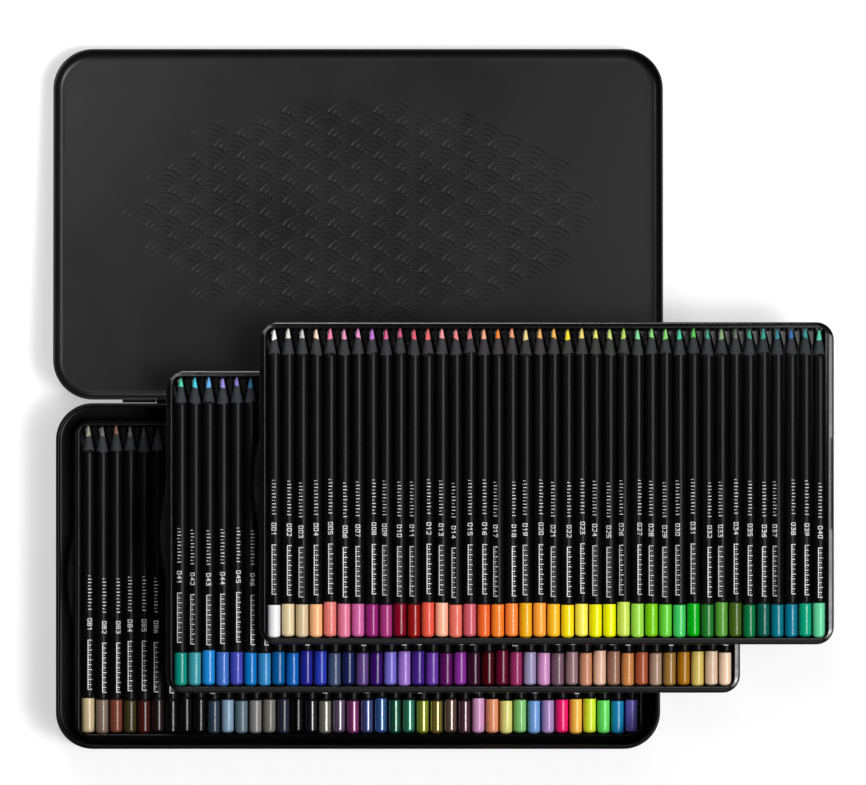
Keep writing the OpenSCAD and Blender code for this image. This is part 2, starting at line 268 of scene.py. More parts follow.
# ---------------------------------------------------------------------------------------------
# Relief in the lid. Overlapping scales, each of four arcs, pressed lightly into the sheet and
# standing up inside it as low ridges. One scale is laid out in staggered rows over an oval.
# ---------------------------------------------------------------------------------------------
SCALE_R = 13
ARCS, ARC_STEP = 4, 3
ARC_MARGIN = 3                   # degrees between an arc's end and the scale that covers it
RIDGE_W = 0.9
RIDGE_H = 0.2
RIDGE_SECTION = ((-0.5, -0.4), (-0.2, 1), (0.2, 1), (0.5, -0.4))     # in widths and heights
OVAL_W, OVAL_D = 250, 124


def ridge(radius, first, last, steps):
    """A low rounded ridge along an arc, fading out at both ends."""
    stations = []
    for k in range(steps + 1):
        turn = math.radians(first + (last - first) * k / steps)
        fade = math.sin(math.pi * (0.05 + 0.9 * k / steps)) ** 0.6
        stations.append([
            ((radius + out * RIDGE_W) * math.cos(turn), (radius + out * RIDGE_W) * math.sin(turn),
             up * RIDGE_H * fade)
            for out, up in RIDGE_SECTION])
    return loft(stations, ring=False)


def laid_out(tree_name, inputs):
    """An empty Geometry Nodes tree with a geometry input, named inputs and a geometry output."""
    tree = bpy.data.node_groups.new(tree_name, "GeometryNodeTree")
    tree.interface.new_socket("Geometry", in_out="INPUT", socket_type="NodeSocketGeometry")
    for name, kind in inputs:
        tree.interface.new_socket(name, in_out="INPUT", socket_type="NodeSocket" + kind)
    tree.interface.new_socket("Geometry", in_out="OUTPUT", socket_type="NodeSocketGeometry")
    return tree, tree.nodes.new("NodeGroupInput").outputs


def applied(host, tree, values, name):
    """The plain mesh that a tree makes of a host mesh."""
    modifier = host.modifiers.new("layout", "NODES")
    modifier.node_group = tree
    for item in tree.interface.items_tree:
        if item.in_out == "INPUT" and item.name in values:
            modifier[item.identifier] = values[item.name]
    bpy.context.scene.collection.objects.link(host)
    graph = bpy.context.evaluated_depsgraph_get()
    mesh = bpy.data.meshes.new_from_object(host.evaluated_get(graph))
    host.modifiers.remove(modifier)
    bpy.data.objects.remove(host)
    mesh.name = name
    return mesh


def reckoned(tree, operation, first, second):
    """Arithmetic on two values."""
    return add(tree, "ShaderNodeMath", {0: first, 1: second}, operation=operation).outputs[0]


scale_parts = []
for k in range(ARCS):
    radius = SCALE_R - k * ARC_STEP
    neighbour = math.hypot(SCALE_R, SCALE_R / 2)
    covered = (radius ** 2 + neighbour ** 2 - SCALE_R ** 2) / (2 * radius * neighbour)
    start = math.degrees(math.acos(covered) - math.atan(0.5))
    scale_parts.append(ridge(radius - RIDGE_W / 2, start + ARC_MARGIN,
                             180 - ARC_MARGIN - start, 10 - k))
scale = formed("scale", scale_parts, sharp=60)

scales, given = laid_out("staggered_scales", (
    ("Scale", "Object"), ("Pitch", "Float"), ("Row", "Float"), ("Width", "Float"),
    ("Depth", "Float")))
columns, rows = 12, 21
grid = add(scales, "GeometryNodeMeshGrid", {
    "Size X": reckoned(scales, "MULTIPLY", given["Pitch"], columns - 1),
    "Size Y": reckoned(scales, "MULTIPLY", given["Row"], rows - 1),
    "Vertices X": columns, "Vertices Y": rows}).outputs["Mesh"]
line = reckoned(scales, "MODULO", add(scales, "GeometryNodeInputIndex").outputs[0], rows)
parity = reckoned(scales, "MODULO", line, 2)
shift = reckoned(scales, "MULTIPLY", reckoned(scales, "SUBTRACT", parity, 0.5),
                 reckoned(scales, "MULTIPLY", given["Pitch"], 0.5))
staggered = add(scales, "GeometryNodeSetPosition", {
    "Geometry": grid,
    "Offset": add(scales, "ShaderNodeCombineXYZ", {"X": shift}).outputs[0]}).outputs[0]
place = add(scales, "ShaderNodeSeparateXYZ", {
    0: add(scales, "GeometryNodeInputPosition").outputs[0]}).outputs
squares = []
for axis, size in (("X", "Width"), ("Y", "Depth")):
    share = reckoned(scales, "DIVIDE", place[axis], given[size])
    squares.append(reckoned(scales, "MULTIPLY", share, share))
outside = reckoned(scales, "GREATER_THAN", reckoned(scales, "ADD", *squares), 0.5 ** 2)
kept = add(scales, "GeometryNodeDeleteGeometry", {"Geometry": staggered, "Selection": outside})
instances = add(scales, "GeometryNodeInstanceOnPoints", {
    "Points": kept.outputs[0],
    "Instance": add(scales, "GeometryNodeObjectInfo", {
        "Object": given["Scale"]}).outputs["Geometry"]})
realized = add(scales, "GeometryNodeRealizeInstances", {0: instances.outputs[0]})
done = add(scales, "GeometryNodeSetMaterial", {
    "Geometry": realized.outputs[0], "Material": lid_paint})
add(scales, "NodeGroupOutput", {0: done.outputs[0]})

host = bpy.data.objects.new("relief_host", bpy.data.meshes.new("relief_host"))
relief_mesh = applied(host, scales, {
    "Scale": scale, "Pitch": 2 * SCALE_R * MM, "Row": SCALE_R / 2 * MM, "Width": OVAL_W * MM,
    "Depth": OVAL_D * MM}, "lid_relief")
inner_face = Matrix.Translation((0, 0, LID_H - SHEET)) @ Matrix.Rotation(math.pi, 4, "X")
to_mm, to_m = Matrix.Scale(1 / MM, 4), Matrix.Scale(MM, 4)
relief_mesh.transform(to_m @ opened @ inner_face @ to_mm)
relief = bpy.data.objects.new("lid_relief", relief_mesh)
fitted(relief, "lid", [], "tin_metal")

# ---------------------------------------------------------------------------------------------
# Hinge wires. A straight steel wire through the three knuckles of each hinge, drawn bright and
# left bare. Each is the CAD solid with a brushed finish along its length.
# ---------------------------------------------------------------------------------------------
wire, tree, shader = new_finish("hinge_wire", Metallic=1.0, IOR=1.45)
drawn = clouds(tree, 900, 3, (0.04, 1, 1))
tree.links.new(blend(tree, drawn, (0.34, 0.345, 0.36, 1), (0.50, 0.505, 0.52, 1)),
               shader.inputs["Base Color"])
tree.links.new(between(tree, drawn, 0.28, 0.45), shader.inputs["Roughness"])
for name in ("hinge_pin_left", "hinge_pin_right"):
    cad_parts[name].material_slots[0].material = wire

# ---------------------------------------------------------------------------------------------
# Trays. Three alike, vacuum-formed from glossy black plastic sheet: a round channel for each
# pencil, wedges between the points, a wall, a sloping flange and a finger grip in each side.
# ---------------------------------------------------------------------------------------------
PENCILS = 40
PITCH = 7.93
CHANNEL_R = 3.75
AXIS_Z, RIDGE_Z = 4.25, 3.25
TRAY_SHEET = 0.5
POCKET_W, POCKET_D, POCKET_CORNER = 319.07, 176, 4.5
WALL = 0.6
FLANGE_W = 3.45
TRAY_CORNER = 10
LIP_Z = 6.4
GRIP_HALF, GRIP_OUT = 26, 3.3
GRIP_R = (GRIP_HALF ** 2 + GRIP_OUT ** 2) / (2 * GRIP_OUT)
LAND = 0.351                     # half the width of a ridge's top
CREST = 0.25
RIDGE_EDGE = 0.1
CHANNEL_CUTS = (-1, -0.8, -0.45, 0.45, 0.8, 1)
WEDGE_HALF = 2.3
WEDGE_FROM, WEDGE_MIDDLE, WEDGE_TO = 78.6, 85.4, 86.3
WEDGE_FALL = 0.08
WEDGE_DIP = math.tan(math.radians(20))
WEDGE_DIP_GROWTH = 4             # the dip sets in towards the right end
CORNER_CUTS = (87.3, 85.7)       # rows that follow the pocket's round corners
UNDER_SHIFT = 0.1                # keeps the rows of the under side clear of each other
TRAY_PLACES = {"bottom": (0.85, -2.3, 0.9), "middle": (53.95, 25.25, 32.3),
               "top": (107.05, 52.8, 41.6)}


def pencil_x(number):
    """Sideways place of a pencil in its tray, counted from 1 at the left."""
    return (number - (PENCILS + 1) / 2) * PITCH


def tray_floor():
    """The tray's channels, ridges and wedges above, and its smooth waves below."""
    corner_y = POCKET_D / 2 - POCKET_CORNER
    end = POCKET_D / 2 + WALL / 2
    rows = [(y, LAND) for y in (-end, -POCKET_D / 2, *(-cut for cut in CORNER_CUTS), -corner_y)]
    for y in (WEDGE_FROM, corner_y, WEDGE_MIDDLE, WEDGE_TO):
        rows.append((y, LAND + (WEDGE_HALF - LAND) * (y - WEDGE_FROM) / (WEDGE_TO - WEDGE_FROM)))
    rows += [(y, LAND) for y in (WEDGE_TO + WEDGE_FALL, CORNER_CUTS[0], POCKET_D / 2, end)]
    top, under = [], []
    for number, (y, half) in enumerate(rows):
        past = min(max(abs(y) - corner_y, 0), POCKET_CORNER)
        limit = POCKET_W / 2 + WALL / 2 - POCKET_CORNER + math.sqrt(POCKET_CORNER ** 2 - past ** 2)
        line = [(-limit, RIDGE_Z)]
        for n in range(1, PENCILS + 1):
            axis = pencil_x(n)
            left = PITCH / 2 - (LAND if n == 1 else half)
            right = PITCH / 2 - (LAND if n == PENCILS else half)
            points = [(axis - left - RIDGE_EDGE, RIDGE_Z)]
            for cut in CHANNEL_CUTS:
                x = min(max(axis + cut * (left if cut < 0 else right), -limit), limit)
                drop = math.sqrt(max(CHANNEL_R ** 2 - (x - axis) ** 2, 0))
                points.append((x, AXIS_Z - drop))
            points.append((axis + right + RIDGE_EDGE, RIDGE_Z))
            if n < PENCILS:
                dip = (half - LAND) * WEDGE_DIP * (n / PENCILS) ** WEDGE_DIP_GROWTH
                points.append((axis + PITCH / 2, RIDGE_Z + (CREST if half == LAND else -dip)))
            line += points
        line.append((limit, RIDGE_Z))
        top.append([(min(max(x, -limit), limit), y, z) for x, z in line])
        low_y = y + UNDER_SHIFT * (number - len(rows) / 2) / len(rows)
        below = []
        for k in range(len(line)):
            x = -limit + 2 * limit * k / (len(line) - 1)
            nearest = min(max(round((x / PITCH) + (PENCILS + 1) / 2), 1), PENCILS)
            dx = min(abs(x - pencil_x(nearest)), PITCH / 2)
            z = AXIS_Z - math.sqrt((CHANNEL_R + TRAY_SHEET) ** 2 - dx ** 2)
            below.append((x, low_y, z))
        under.append(below)
    count, deep = len(top[0]), len(top)
    verts = [p for line in top for p in line] + [p for line in under for p in line]
    faces = []
    for level in (0, deep * count):
        for r in range(deep - 1):
            for c in range(count - 1):
                at = level + r * count + c
                faces.append((at, at + 1, at + count + 1, at + count))
    border = list(range(count)) + [r * count + count - 1 for r in range(1, deep)]
    border += [(deep - 1) * count + c for c in range(count - 2, -1, -1)]
    border += [r * count for r in range(deep - 2, 0, -1)]
    for i, j in zip(border, border[1:] + border[:1]):
        faces.append((i, j, deep * count + j, deep * count + i))
    return verts, faces


# Cross-sections, as distances out from the pocket and heights: up the wall, over its rounded top,
# down the flange and its lip, and back underneath. In the notch the flange is a flat rest.
WALL_TOP = [(0, 0.25), (0, 8.6), (0.05, 8.76), (0.1, 8.815), (0.34, 8.965), (0.44, 8.992)]
LIP_END = [(FLANGE_W, 6.5), (FLANGE_W - 0.1, LIP_Z), (FLANGE_W - 0.5, LIP_Z)]
RIM = WALL_TOP + [
    (0.56, 8.99), (0.7, 8.955), (2.5, 8.473), (2.57, 8.448), (2.62, 8.42), (3.12, 8.095),
    (3.2, 8.03), (3.34, 7.85), (3.42, 7.65), (FLANGE_W, 7.4)] + LIP_END + [
    (2.85, 6.5), (2.85, 7.6), (WALL, 8.3), (WALL, 0.25)]
NOTCH = WALL_TOP + [
    (0.5, 8.99), (0.56, 8.96), (WALL, 8.8), (WALL, 7.2), (0.65, 7.06), (0.8, 7.0),
    (3.1, 7.0), (3.3, 6.99), (3.4, 6.96), (FLANGE_W, 6.9)] + LIP_END + [
    (2.3, LIP_Z), (1.2, LIP_Z), (WALL, 6.3), (WALL, 0.25)]
GRIP_Z = 7.0
GRIP_EDGE = [(0.1, LIP_Z), (0, 6.5), (0, 7.65), (0.12, 7.8), (0.45, 7.8), (0.6, 7.65),
             (0.62, 7.1), (0.75, GRIP_Z)]
GRIP_REACH = 0.99                # share of its half-length at which the grip ends
GRIP_THINNEST = 0.002


def tray_rim():
    """The tray's wall and flange, and the flat rest cut into the flange on the right."""
    wide, deep = POCKET_W + 2 * FLANGE_W, POCKET_D + 2 * FLANGE_W
    steps = 8
    inner = rounded(POCKET_W, POCKET_D, POCKET_CORNER, steps)
    outer = rounded(wide, deep, TRAY_CORNER, steps)
    places = [(a, b, RIM) for (a, _), (b, _) in zip(inner, outer)]
    for y, section in ((-GRIP_HALF, RIM), (-GRIP_HALF, NOTCH), (GRIP_HALF, NOTCH),
                       (GRIP_HALF, RIM)):
        places.append((Vector((POCKET_W / 2, y, 0)), Vector((wide / 2, y, 0)), section))
    stations = []
    for a, b, section in places:
        spots = [(a.lerp(b, s / FLANGE_W), z) for s, z in section]
        stations.append([(spot.x, spot.y, z) for spot, z in spots])
    return loft(stations)


def tray_grip():
    """The finger grip on the left: a flat plate with a raised edge along its arc."""
    steps = 32
    inside = -POCKET_W / 2 - FLANGE_W + WALL / 2
    stations = []
    for k in range(steps + 1):
        y = GRIP_HALF * (-GRIP_REACH + 2 * GRIP_REACH * k / steps)
        edge = -POCKET_W / 2 - FLANGE_W - GRIP_OUT + GRIP_R - math.sqrt(GRIP_R ** 2 - y ** 2)
        line = [(min(edge + s, inside - GRIP_THINNEST * (len(GRIP_EDGE) - i)), y, z)
                for i, (s, z) in enumerate(GRIP_EDGE)]
        stations.append([(inside, y, LIP_Z)] + line + [(inside, y, GRIP_Z)])
    return loft(stations, ring=False)


plastic, tree, shader = new_finish("tray_plastic", IOR=1.5)
tree.links.new(between(tree, clouds(tree, 70, 3), 0.13, 0.2), shader.inputs["Roughness"])
tree.links.new(blend(tree, clouds(tree, 150, 2), (0.0018, 0.0018, 0.002, 1),
                     (0.003, 0.003, 0.0033, 1)), shader.inputs["Base Color"])
raised(tree, clouds(tree, 260, 2), 0.00003, shader)
tray_parts = [tray_floor(), tray_rim(), tray_grip()]
for tray, place in TRAY_PLACES.items():
    fitted(formed(tray + "_pencil_tray", tray_parts, turned=Matrix.Translation(place)),
           tray + "_set", [tray + "_tray"], "tray_plastic", plastic)

# ---------------------------------------------------------------------------------------------
# Pencils. Round wooden barrels with black lacquer, a butt end dipped in glossy coloured lacquer,
# white printing, and a dyed wooden cone cut with the colour lead. Forty lie loose in each tray.
# ---------------------------------------------------------------------------------------------
PENCIL_LEN = 175
PENCIL_R = 3.6
BARREL_R = 3.56
POINT_R = 0.55
CONE_SLOPE = 0.2075
LEAD_R = 1.74
BORE_R = 1.76
BORE_FROM = 1.0
SIDES = 20
DIP_LEN, DIP_SPREAD = 19.3, 0.6
BEAD = 0.04                      # the dip's thicker edge
WOOD_FROM, WOOD_TO = 160.8, 169.7
END_SHIFT = 0.35                 # how far pencils lie from the middle of their channels
BARREL_SHAPES, LEAD_SHAPES = 7, 4
DIP, LACQUER, WOOD, PRINT, LEAD = range(5)


def cone_r(y):
    """Radius of the sharpened cone at a distance from the butt end."""
    return POINT_R + CONE_SLOPE * (PENCIL_LEN - y)


def spun(name, rings, start, end):
    """A closed shape round the pencil's axis from rings of (distance, radius, finish behind it),
    where distance and radius are one value or one for each side. It has a pole at each end."""
    def each(value):
        return value if isinstance(value, list) else [value] * SIDES
    verts, faces, finishes = [(0, start, 0)], [], []
    for y, r, _ in rings:
        for k, (yk, rk) in enumerate(zip(each(y), each(r))):
            turn = math.tau * k / SIDES
            verts.append((rk * math.sin(turn), yk, rk * math.cos(turn)))
    verts.append((0, end, 0))
    for i in range(len(rings) + 1):
        finish = rings[min(i, len(rings) - 1)][2]
        for k in range(SIDES):
            j = (k + 1) % SIDES
            a, b = 1 + (i - 1) * SIDES, 1 + i * SIDES
            if i == 0:
                faces.append((0, b + k, b + j))
            elif i == len(rings):
                faces.append((a + k, len(verts) - 1, a + j))
            else:
                faces.append((a + k, b + k, b + j, a + j))
            finishes.append(finish)
    return marked(name, [(verts, faces)], finishes, flat=(WOOD,))


def marked(name, parts, finishes, flat=()):
    """A shape that knows the finish of each face. The faces of some finishes are cut flat."""
    made = formed(name, parts, sharp=50)
    made.data.attributes.new("finish", "INT", "FACE").data.foreach_set("value", finishes)
    for face, finish in zip(made.data.polygons, finishes):
        face.use_smooth = finish not in flat
    return made


def barrel_shape(name, draw):
    """One sharpened barrel, bored for its lead. The lacquer's edge on the cone waves, and the
    wood ends at the lead in a leaning edge with nicks."""
    phase = [draw.uniform(0, math.tau) for _ in range(2)]
    wave = [0.32 * math.sin(2 * math.tau * k / SIDES + phase[0])
            + 0.22 * math.sin(3 * math.tau * k / SIDES + phase[1]) for k in range(SIDES)]
    lean, toward = draw.uniform(0.25, 0.8), draw.uniform(0, math.tau)
    nicks = [draw.uniform(-0.35, 0.35) + lean * math.sin(math.tau * k / SIDES + toward)
             for k in range(SIDES)]
    dip_end = DIP_LEN + draw.uniform(-DIP_SPREAD, DIP_SPREAD)
    cut = draw.uniform(-0.6, 0.7)
    lacquer_end = [WOOD_FROM + cut + w for w in wave]
    wood_start = [y + 0.04 for y in lacquer_end]
    wood_end = [WOOD_TO + n for n in nicks]
    rings = [
        (0.12, 1.4, DIP), (0.42, 2.5, DIP), (0.76, 3.05, DIP), (1.08, 3.37, DIP),
        (1.5, 3.55, DIP), (2.1, PENCIL_R, DIP), (dip_end - 0.9, PENCIL_R, DIP),
        (dip_end - 0.5, PENCIL_R + BEAD, DIP), (dip_end, PENCIL_R - 0.01, DIP),
        (dip_end + 0.06, BARREL_R, LACQUER), (dip_end + 1.5, BARREL_R, LACQUER),
        (WOOD_FROM - 2, BARREL_R, LACQUER),
        ([y - 0.12 for y in lacquer_end], BARREL_R, LACQUER),
        (lacquer_end, [min(cone_r(y) + 0.06, BARREL_R) for y in lacquer_end], LACQUER),
        (wood_start, [min(cone_r(y), BARREL_R - 0.04) for y in wood_start], WOOD),
        (wood_end, [cone_r(y) for y in wood_end], WOOD),
        (wood_end, [min(BORE_R, cone_r(y) - 0.04) for y in wood_end], WOOD),
        (WOOD_TO - 1.2, BORE_R, WOOD), (BORE_FROM, BORE_R, WOOD)]
    return spun(name, rings, 0, BORE_FROM)


def lead_shape(name, draw):
    """One colour lead, sharpened with its barrel to a blunt point."""
    blunt = draw.uniform(0.85, 1.1)
    start = BORE_FROM + 0.06
    rings = [
        (start, LEAD_R, LEAD), (168.2, LEAD_R, LEAD), (169.4, cone_r(169.4) - 0.05, LEAD),
        (172, cone_r(172) - 0.03, LEAD), (174.3, cone_r(174.3), LEAD),
        (174.75, 0.5 * blunt, LEAD), (174.94, 0.26 * blunt, LEAD)]
    return spun(name, rings, start, PENCIL_LEN)


def printed(name, strokes, width=0.42):
    """Strokes of white print laid over the barrel, thin and closed. They read towards the butt
    end, and their tops point to the right."""
    parts, finishes = [], []
    for (u0, v0), (u1, v1) in strokes:
        along = Vector((u1 - u0, v1 - v0)).normalized() * width / 2
        across = Vector((-along.y, along.x))
        corners = [Vector((u0, v0)) - along + across, Vector((u0, v0)) - along - across,
                   Vector((u1, v1)) + along - across, Vector((u1, v1)) + along + across]
        verts = [(r * math.sin(c.y / BARREL_R), -c.x, r * math.cos(c.y / BARREL_R))
                 for r in (BARREL_R - 0.06, BARREL_R + 0.05) for c in corners]
        faces = [(0, 1, 2, 3), (7, 6, 5, 4)]
        faces += [(i, (i + 1) % 4, 4 + (i + 1) % 4, 4 + i) for i in range(4)]
        parts.append((verts, faces))
        finishes += [PRINT] * len(faces)
    return marked(name, parts, finishes, flat=(PRINT,))


STROKE_MAX = 1.15


def line_of(*points):
    """The strokes between points. Each is short enough round the barrel to lie on it."""
    strokes = []
    for (u0, v0), (u1, v1) in zip(points, points[1:]):
        cuts = max(1, math.ceil(abs(v1 - v0) / STROKE_MAX - 0.01))
        for k in range(cuts):
            a, b = k / cuts, (k + 1) / cuts
            strokes.append(((u0 + (u1 - u0) * a, v0 + (v1 - v0) * a),
                            (u0 + (u1 - u0) * b, v0 + (v1 - v0) * b)))
    return strokes


# Corners of each digit's line, in widths and half heights from its lower left.
DIGITS = {
    0: [(0, 0), (0, 2), (1, 2), (1, 0), (0, 0)],
    1: [(0.1, 1.5), (0.6, 2), (0.6, 0)],
    2: [(0, 2), (1, 2), (1, 1), (0, 0), (1, 0)],
    3: [(0, 2), (1, 2), (0.4, 1.1), (1, 1), (1, 0), (0, 0)],
    4: [(0.8, 0), (0.8, 2), (0, 0.7), (1.1, 0.7)],
    5: [(1, 2), (0, 2), (0, 1.1), (1, 1), (1, 0), (0, 0)],
    6: [(1, 2), (0, 1.4), (0, 0), (1, 0), (1, 1), (0, 1)],
    7: [(0, 2), (1, 2), (0.4, 0)],
    8: [(0, 1), (0, 0), (1, 0), (1, 1), (0, 1), (0, 2), (1, 2), (1, 1)],
    9: [(0, 0), (1, 0.6), (1, 2), (0, 2), (0, 1), (1, 1)],
}
DIGIT_W, DIGIT_H, DIGIT_STEP = 1.5, 2.3, 2.55
TICKS, TICK_STEP, TICK_FOOT = 21, 1.4, -1.05
TICK_TOPS = (1.1, 0.1, 0.6, 0.1)
BARS, BAR_STEP, BAR_FOOT = 11, 1.9, -0.85
BAR_TOPS = (0.25, 0.85, 0.85)

draw = random.Random(11)
shapes = [barrel_shape(f"shape_{k:02}", draw) for k in range(BARREL_SHAPES)]
LEADS_AT = len(shapes)
shapes += [lead_shape(f"shape_{LEADS_AT + k:02}", draw) for k in range(LEAD_SHAPES)]
SCALE_AT = len(shapes)
ruler = line_of((0, TICK_FOOT), (TICK_STEP * (TICKS - 1), TICK_FOOT))
for k in range(TICKS):
    ruler += line_of((TICK_STEP * k, TICK_FOOT), (TICK_STEP * k, TICK_TOPS[k % 4]))
shapes.append(printed(f"shape_{SCALE_AT:02}", ruler, width=0.5))
BARS_AT = len(shapes)
bars = []
for k in range(BARS):
    bars += line_of((BAR_STEP * k, BAR_FOOT), (BAR_STEP * k, BAR_TOPS[k % 3]))
shapes.append(printed(f"shape_{BARS_AT:02}", bars))
DIGITS_AT = len(shapes)
for digit, points in DIGITS.items():
    spots = [((u - 0.5) * DIGIT_W, (v - 1) * DIGIT_H / 2) for u, v in points]
    shapes.append(printed(f"shape_{DIGITS_AT + digit:02}", line_of(*spots)))
drawer = bpy.data.collections.new("pencil_shapes")
for shape in shapes:
    drawer.objects.link(shape)

# Dips of each tray from left to right, in hundredths of red, green and blue as they look.
COLOURS = {
    "top": {
        "white": (88, 88, 89), "cream": (84, 76, 60), "sand": (78, 70, 56),
        "apricot": (94, 69, 48), "salmon": (86, 47, 44), "rose": (84, 44, 56),
        "orchid": (78, 37, 61), "dark magenta": (55, 12, 43), "magenta": (62, 19, 45),
        "dark crimson": (48, 2, 13), "dark red": (55, 7, 6), "vermilion": (87, 33, 25),
        "light salmon": (96, 68, 57), "coral": (88, 43, 37), "dusty rose": (78, 35, 41),
        "orange red": (89, 38, 15), "orange": (93, 49, 15), "light orange": (95, 51, 21),
        "amber": (90, 65, 8), "melon": (97, 62, 21), "gold yellow": (95, 70, 12),
        "yellow": (95, 84, 8), "lemon": (96, 89, 31), "bright lemon": (91, 88, 0),
        "green yellow": (92, 92, 0), "pale lime": (76, 85, 32), "light green": (60, 84, 28),
        "lime": (45, 76, 5), "bright green": (38, 78, 22), "mint green": (25, 76, 38),
        "green": (0, 65, 8), "dark green": (12, 45, 16), "leaf green": (32, 58, 20),
        "olive green": (25, 36, 10), "deep green": (2, 44, 24), "pine": (2, 34, 28),
        "teal": (2, 44, 50), "light teal": (2, 44, 54), "sea green": (2, 60, 45),
        "pale mint": (38, 80, 60)},
    "middle": {
        "deep teal": (4, 52, 46), "cyan": (22, 56, 60), "bright blue": (10, 50, 78),
        "cornflower": (22, 40, 72), "iris": (24, 26, 66), "azure": (2, 42, 70),
        "sky blue": (18, 50, 72), "dark cerulean": (2, 34, 58), "blue": (6, 36, 68),
        "indigo": (12, 12, 52), "royal blue": (14, 22, 66), "slate": (24, 29, 42),
        "navy": (8, 12, 32), "grey purple": (34, 24, 48), "deep violet": (20, 4, 38),
        "periwinkle": (44, 40, 76), "lavender": (58, 42, 76), "deep purple": (24, 12, 50),
        "violet": (38, 20, 60), "dark purple": (34, 6, 34), "purple": (50, 16, 56),
        "plum": (20, 4, 14), "garnet": (26, 0, 4), "burgundy": (36, 4, 16),
        "raspberry": (56, 16, 36), "grey lavender": (58, 54, 68), "light orchid": (78, 53, 73),
        "mauve": (43, 31, 37), "mauve brown": (55, 43, 45), "tan": (75, 51, 39),
        "peach beige": (86, 69, 59), "rose brown": (57, 41, 33), "caramel": (75, 49, 27),
        "terracotta": (63, 31, 20), "taupe": (63, 51, 43), "ochre": (57, 43, 20),
        "golden brown": (63, 41, 6), "khaki": (80, 71, 37), "light tan": (82, 71, 61),
        "pale peach": (92, 80, 69)},
    "bottom": {
        "beige": (74, 66, 51), "brown grey": (46, 39, 34), "red brown": (44, 23, 17),
        "dark olive": (22, 20, 10), "maroon": (24, 8, 6), "umber": (12, 7, 6), "black": (3, 3, 3),
        "lamp black": (5, 4, 4), "soft black": (5, 4, 4), "dark slate": (18, 24, 30),
        "steel blue": (52, 64, 74), "green grey": (38, 46, 50), "light grey": (52, 51, 50),
        "warm grey": (47, 46, 43), "ink grey": (16, 16, 22), "ivory black": (2, 2, 2),
        "graphite": (10, 10, 12), "silver": (50, 50, 45), "metal violet": (40, 34, 44),
        "metal magenta": (50, 22, 42), "metal slate": (26, 30, 50), "metal blue": (22, 36, 58),
        "metal green": (10, 32, 24), "metal teal": (20, 48, 38), "metal lime": (54, 58, 18),
        "metal gold": (47, 42, 17), "metal brown": (40, 32, 28), "metal mauve": (32, 20, 24),
        "pastel pink": (84, 60, 78), "pastel salmon": (92, 59, 43), "pastel yellow": (90, 87, 51),
        "pastel green": (52, 80, 47), "pastel blue": (46, 64, 88), "pastel lilac": (69, 56, 79),
        "neon pink": (98, 12, 46), "neon orange": (100, 75, 30), "neon yellow": (87, 95, 20),
        "neon green": (42, 92, 40), "cerulean": (12, 57, 78), "blue violet": (48, 43, 82)},
}
# Leads that show from above, likewise. They are paler than the dips, and the rest follow those.
POINT_COLOURS = {
    "top": (
        (95, 95, 95), (88, 88, 84), (80, 80, 80), (98, 85, 73), (94, 50, 65), (92, 58, 75),
        (93, 58, 82), (74, 44, 80), (84, 36, 56), (80, 34, 50), (85, 35, 42), (90, 40, 42),
        (95, 60, 62), (94, 52, 52), (82, 44, 46), (97, 66, 52), (97, 52, 20), (96, 60, 44),
        (90, 82, 55), (93, 68, 38), (97, 72, 34), (96, 87, 14), (94, 82, 45), (91, 87, 41),
        (78, 85, 48), (70, 84, 38), (50, 85, 60), (54, 84, 48), (50, 84, 42), (28, 79, 61),
        (35, 78, 30), (26, 61, 50), (53, 65, 46), (35, 43, 33), (23, 63, 50), (20, 60, 54),
        (18, 51, 58), (16, 43, 69), (20, 58, 58), (35, 79, 67)),
    "middle": (
        (30, 80, 66), (24, 76, 84), (38, 66, 90), (56, 54, 86), (50, 46, 76), (20, 50, 66)),
    # The bottom tray's leads are set darker than they are, as painted shade for the tray's place
    # deep in the tin.
    "bottom": (
        (60, 57, 50), (41, 41, 41), (54, 38, 30), (36, 36, 36), (28, 24, 24), (14, 13, 13)),
}
METALLIC = ("graphite", "silver", "metal")


def as_light(hundredths):
    """A colour as it looks, as the linear light that a shader takes."""
    return tuple(((c / 100 + 0.055) / 1.055) ** 2.4 for c in hundredths)


lacquer, tree, shader = new_finish("barrel_lacquer", IOR=1.5, Specular_IOR_Level=0.12)
flow = clouds(tree, 260, 2, (1, 0.06, 1))
tree.links.new(blend(tree, flow, (0.0022, 0.0022, 0.0025, 1), (0.0035, 0.0035, 0.0038, 1)),
               shader.inputs["Base Color"])
tree.links.new(between(tree, flow, 0.3, 0.36), shader.inputs["Roughness"])

dip, tree, shader = new_finish("dip_lacquer", IOR=1.5, Specular_IOR_Level=0.25,
                               Coat_Roughness=0.1)
dip_colour = add(tree, "ShaderNodeAttribute", attribute_name="dip").outputs["Color"]
metal = add(tree, "ShaderNodeAttribute", attribute_name="metal").outputs["Fac"]
flakes = between(tree, clouds(tree, 2600, 1), 0.75, 1.3)
pale = add(tree, "ShaderNodeVectorMath", {0: dip_colour, "Scale": flakes}, operation="SCALE")
tree.links.new(blend(tree, metal, dip_colour, pale.outputs[0]), shader.inputs["Base Color"])
tree.links.new(between(tree, metal, 0.0, 0.3, 0, 1), shader.inputs["Metallic"])
tree.links.new(between(tree, metal, 0.0, 0.7, 0, 1), shader.inputs["Coat Weight"])
tree.links.new(between(tree, clouds(tree, 300, 2), 0.12, 0.2), shader.inputs["Roughness"])
raised(tree, clouds(tree, 1100, 2), 0.00004, shader)

wood, tree, shader = new_finish("dyed_wood", IOR=1.45)
tint = add(tree, "ShaderNodeAttribute", attribute_name="dip").outputs["Color"]
grain = clouds(tree, 900, 3, (1, 0.12, 1))
black = blend(tree, grain, (0.014, 0.0155, 0.018, 1), (0.03, 0.033, 0.038, 1))
tree.links.new(blend(tree, 0.008, black, tint), shader.inputs["Base Color"])
tree.links.new(between(tree, grain, 0.7, 0.9), shader.inputs["Roughness"])
raised(tree, grain, 0.0001, shader)

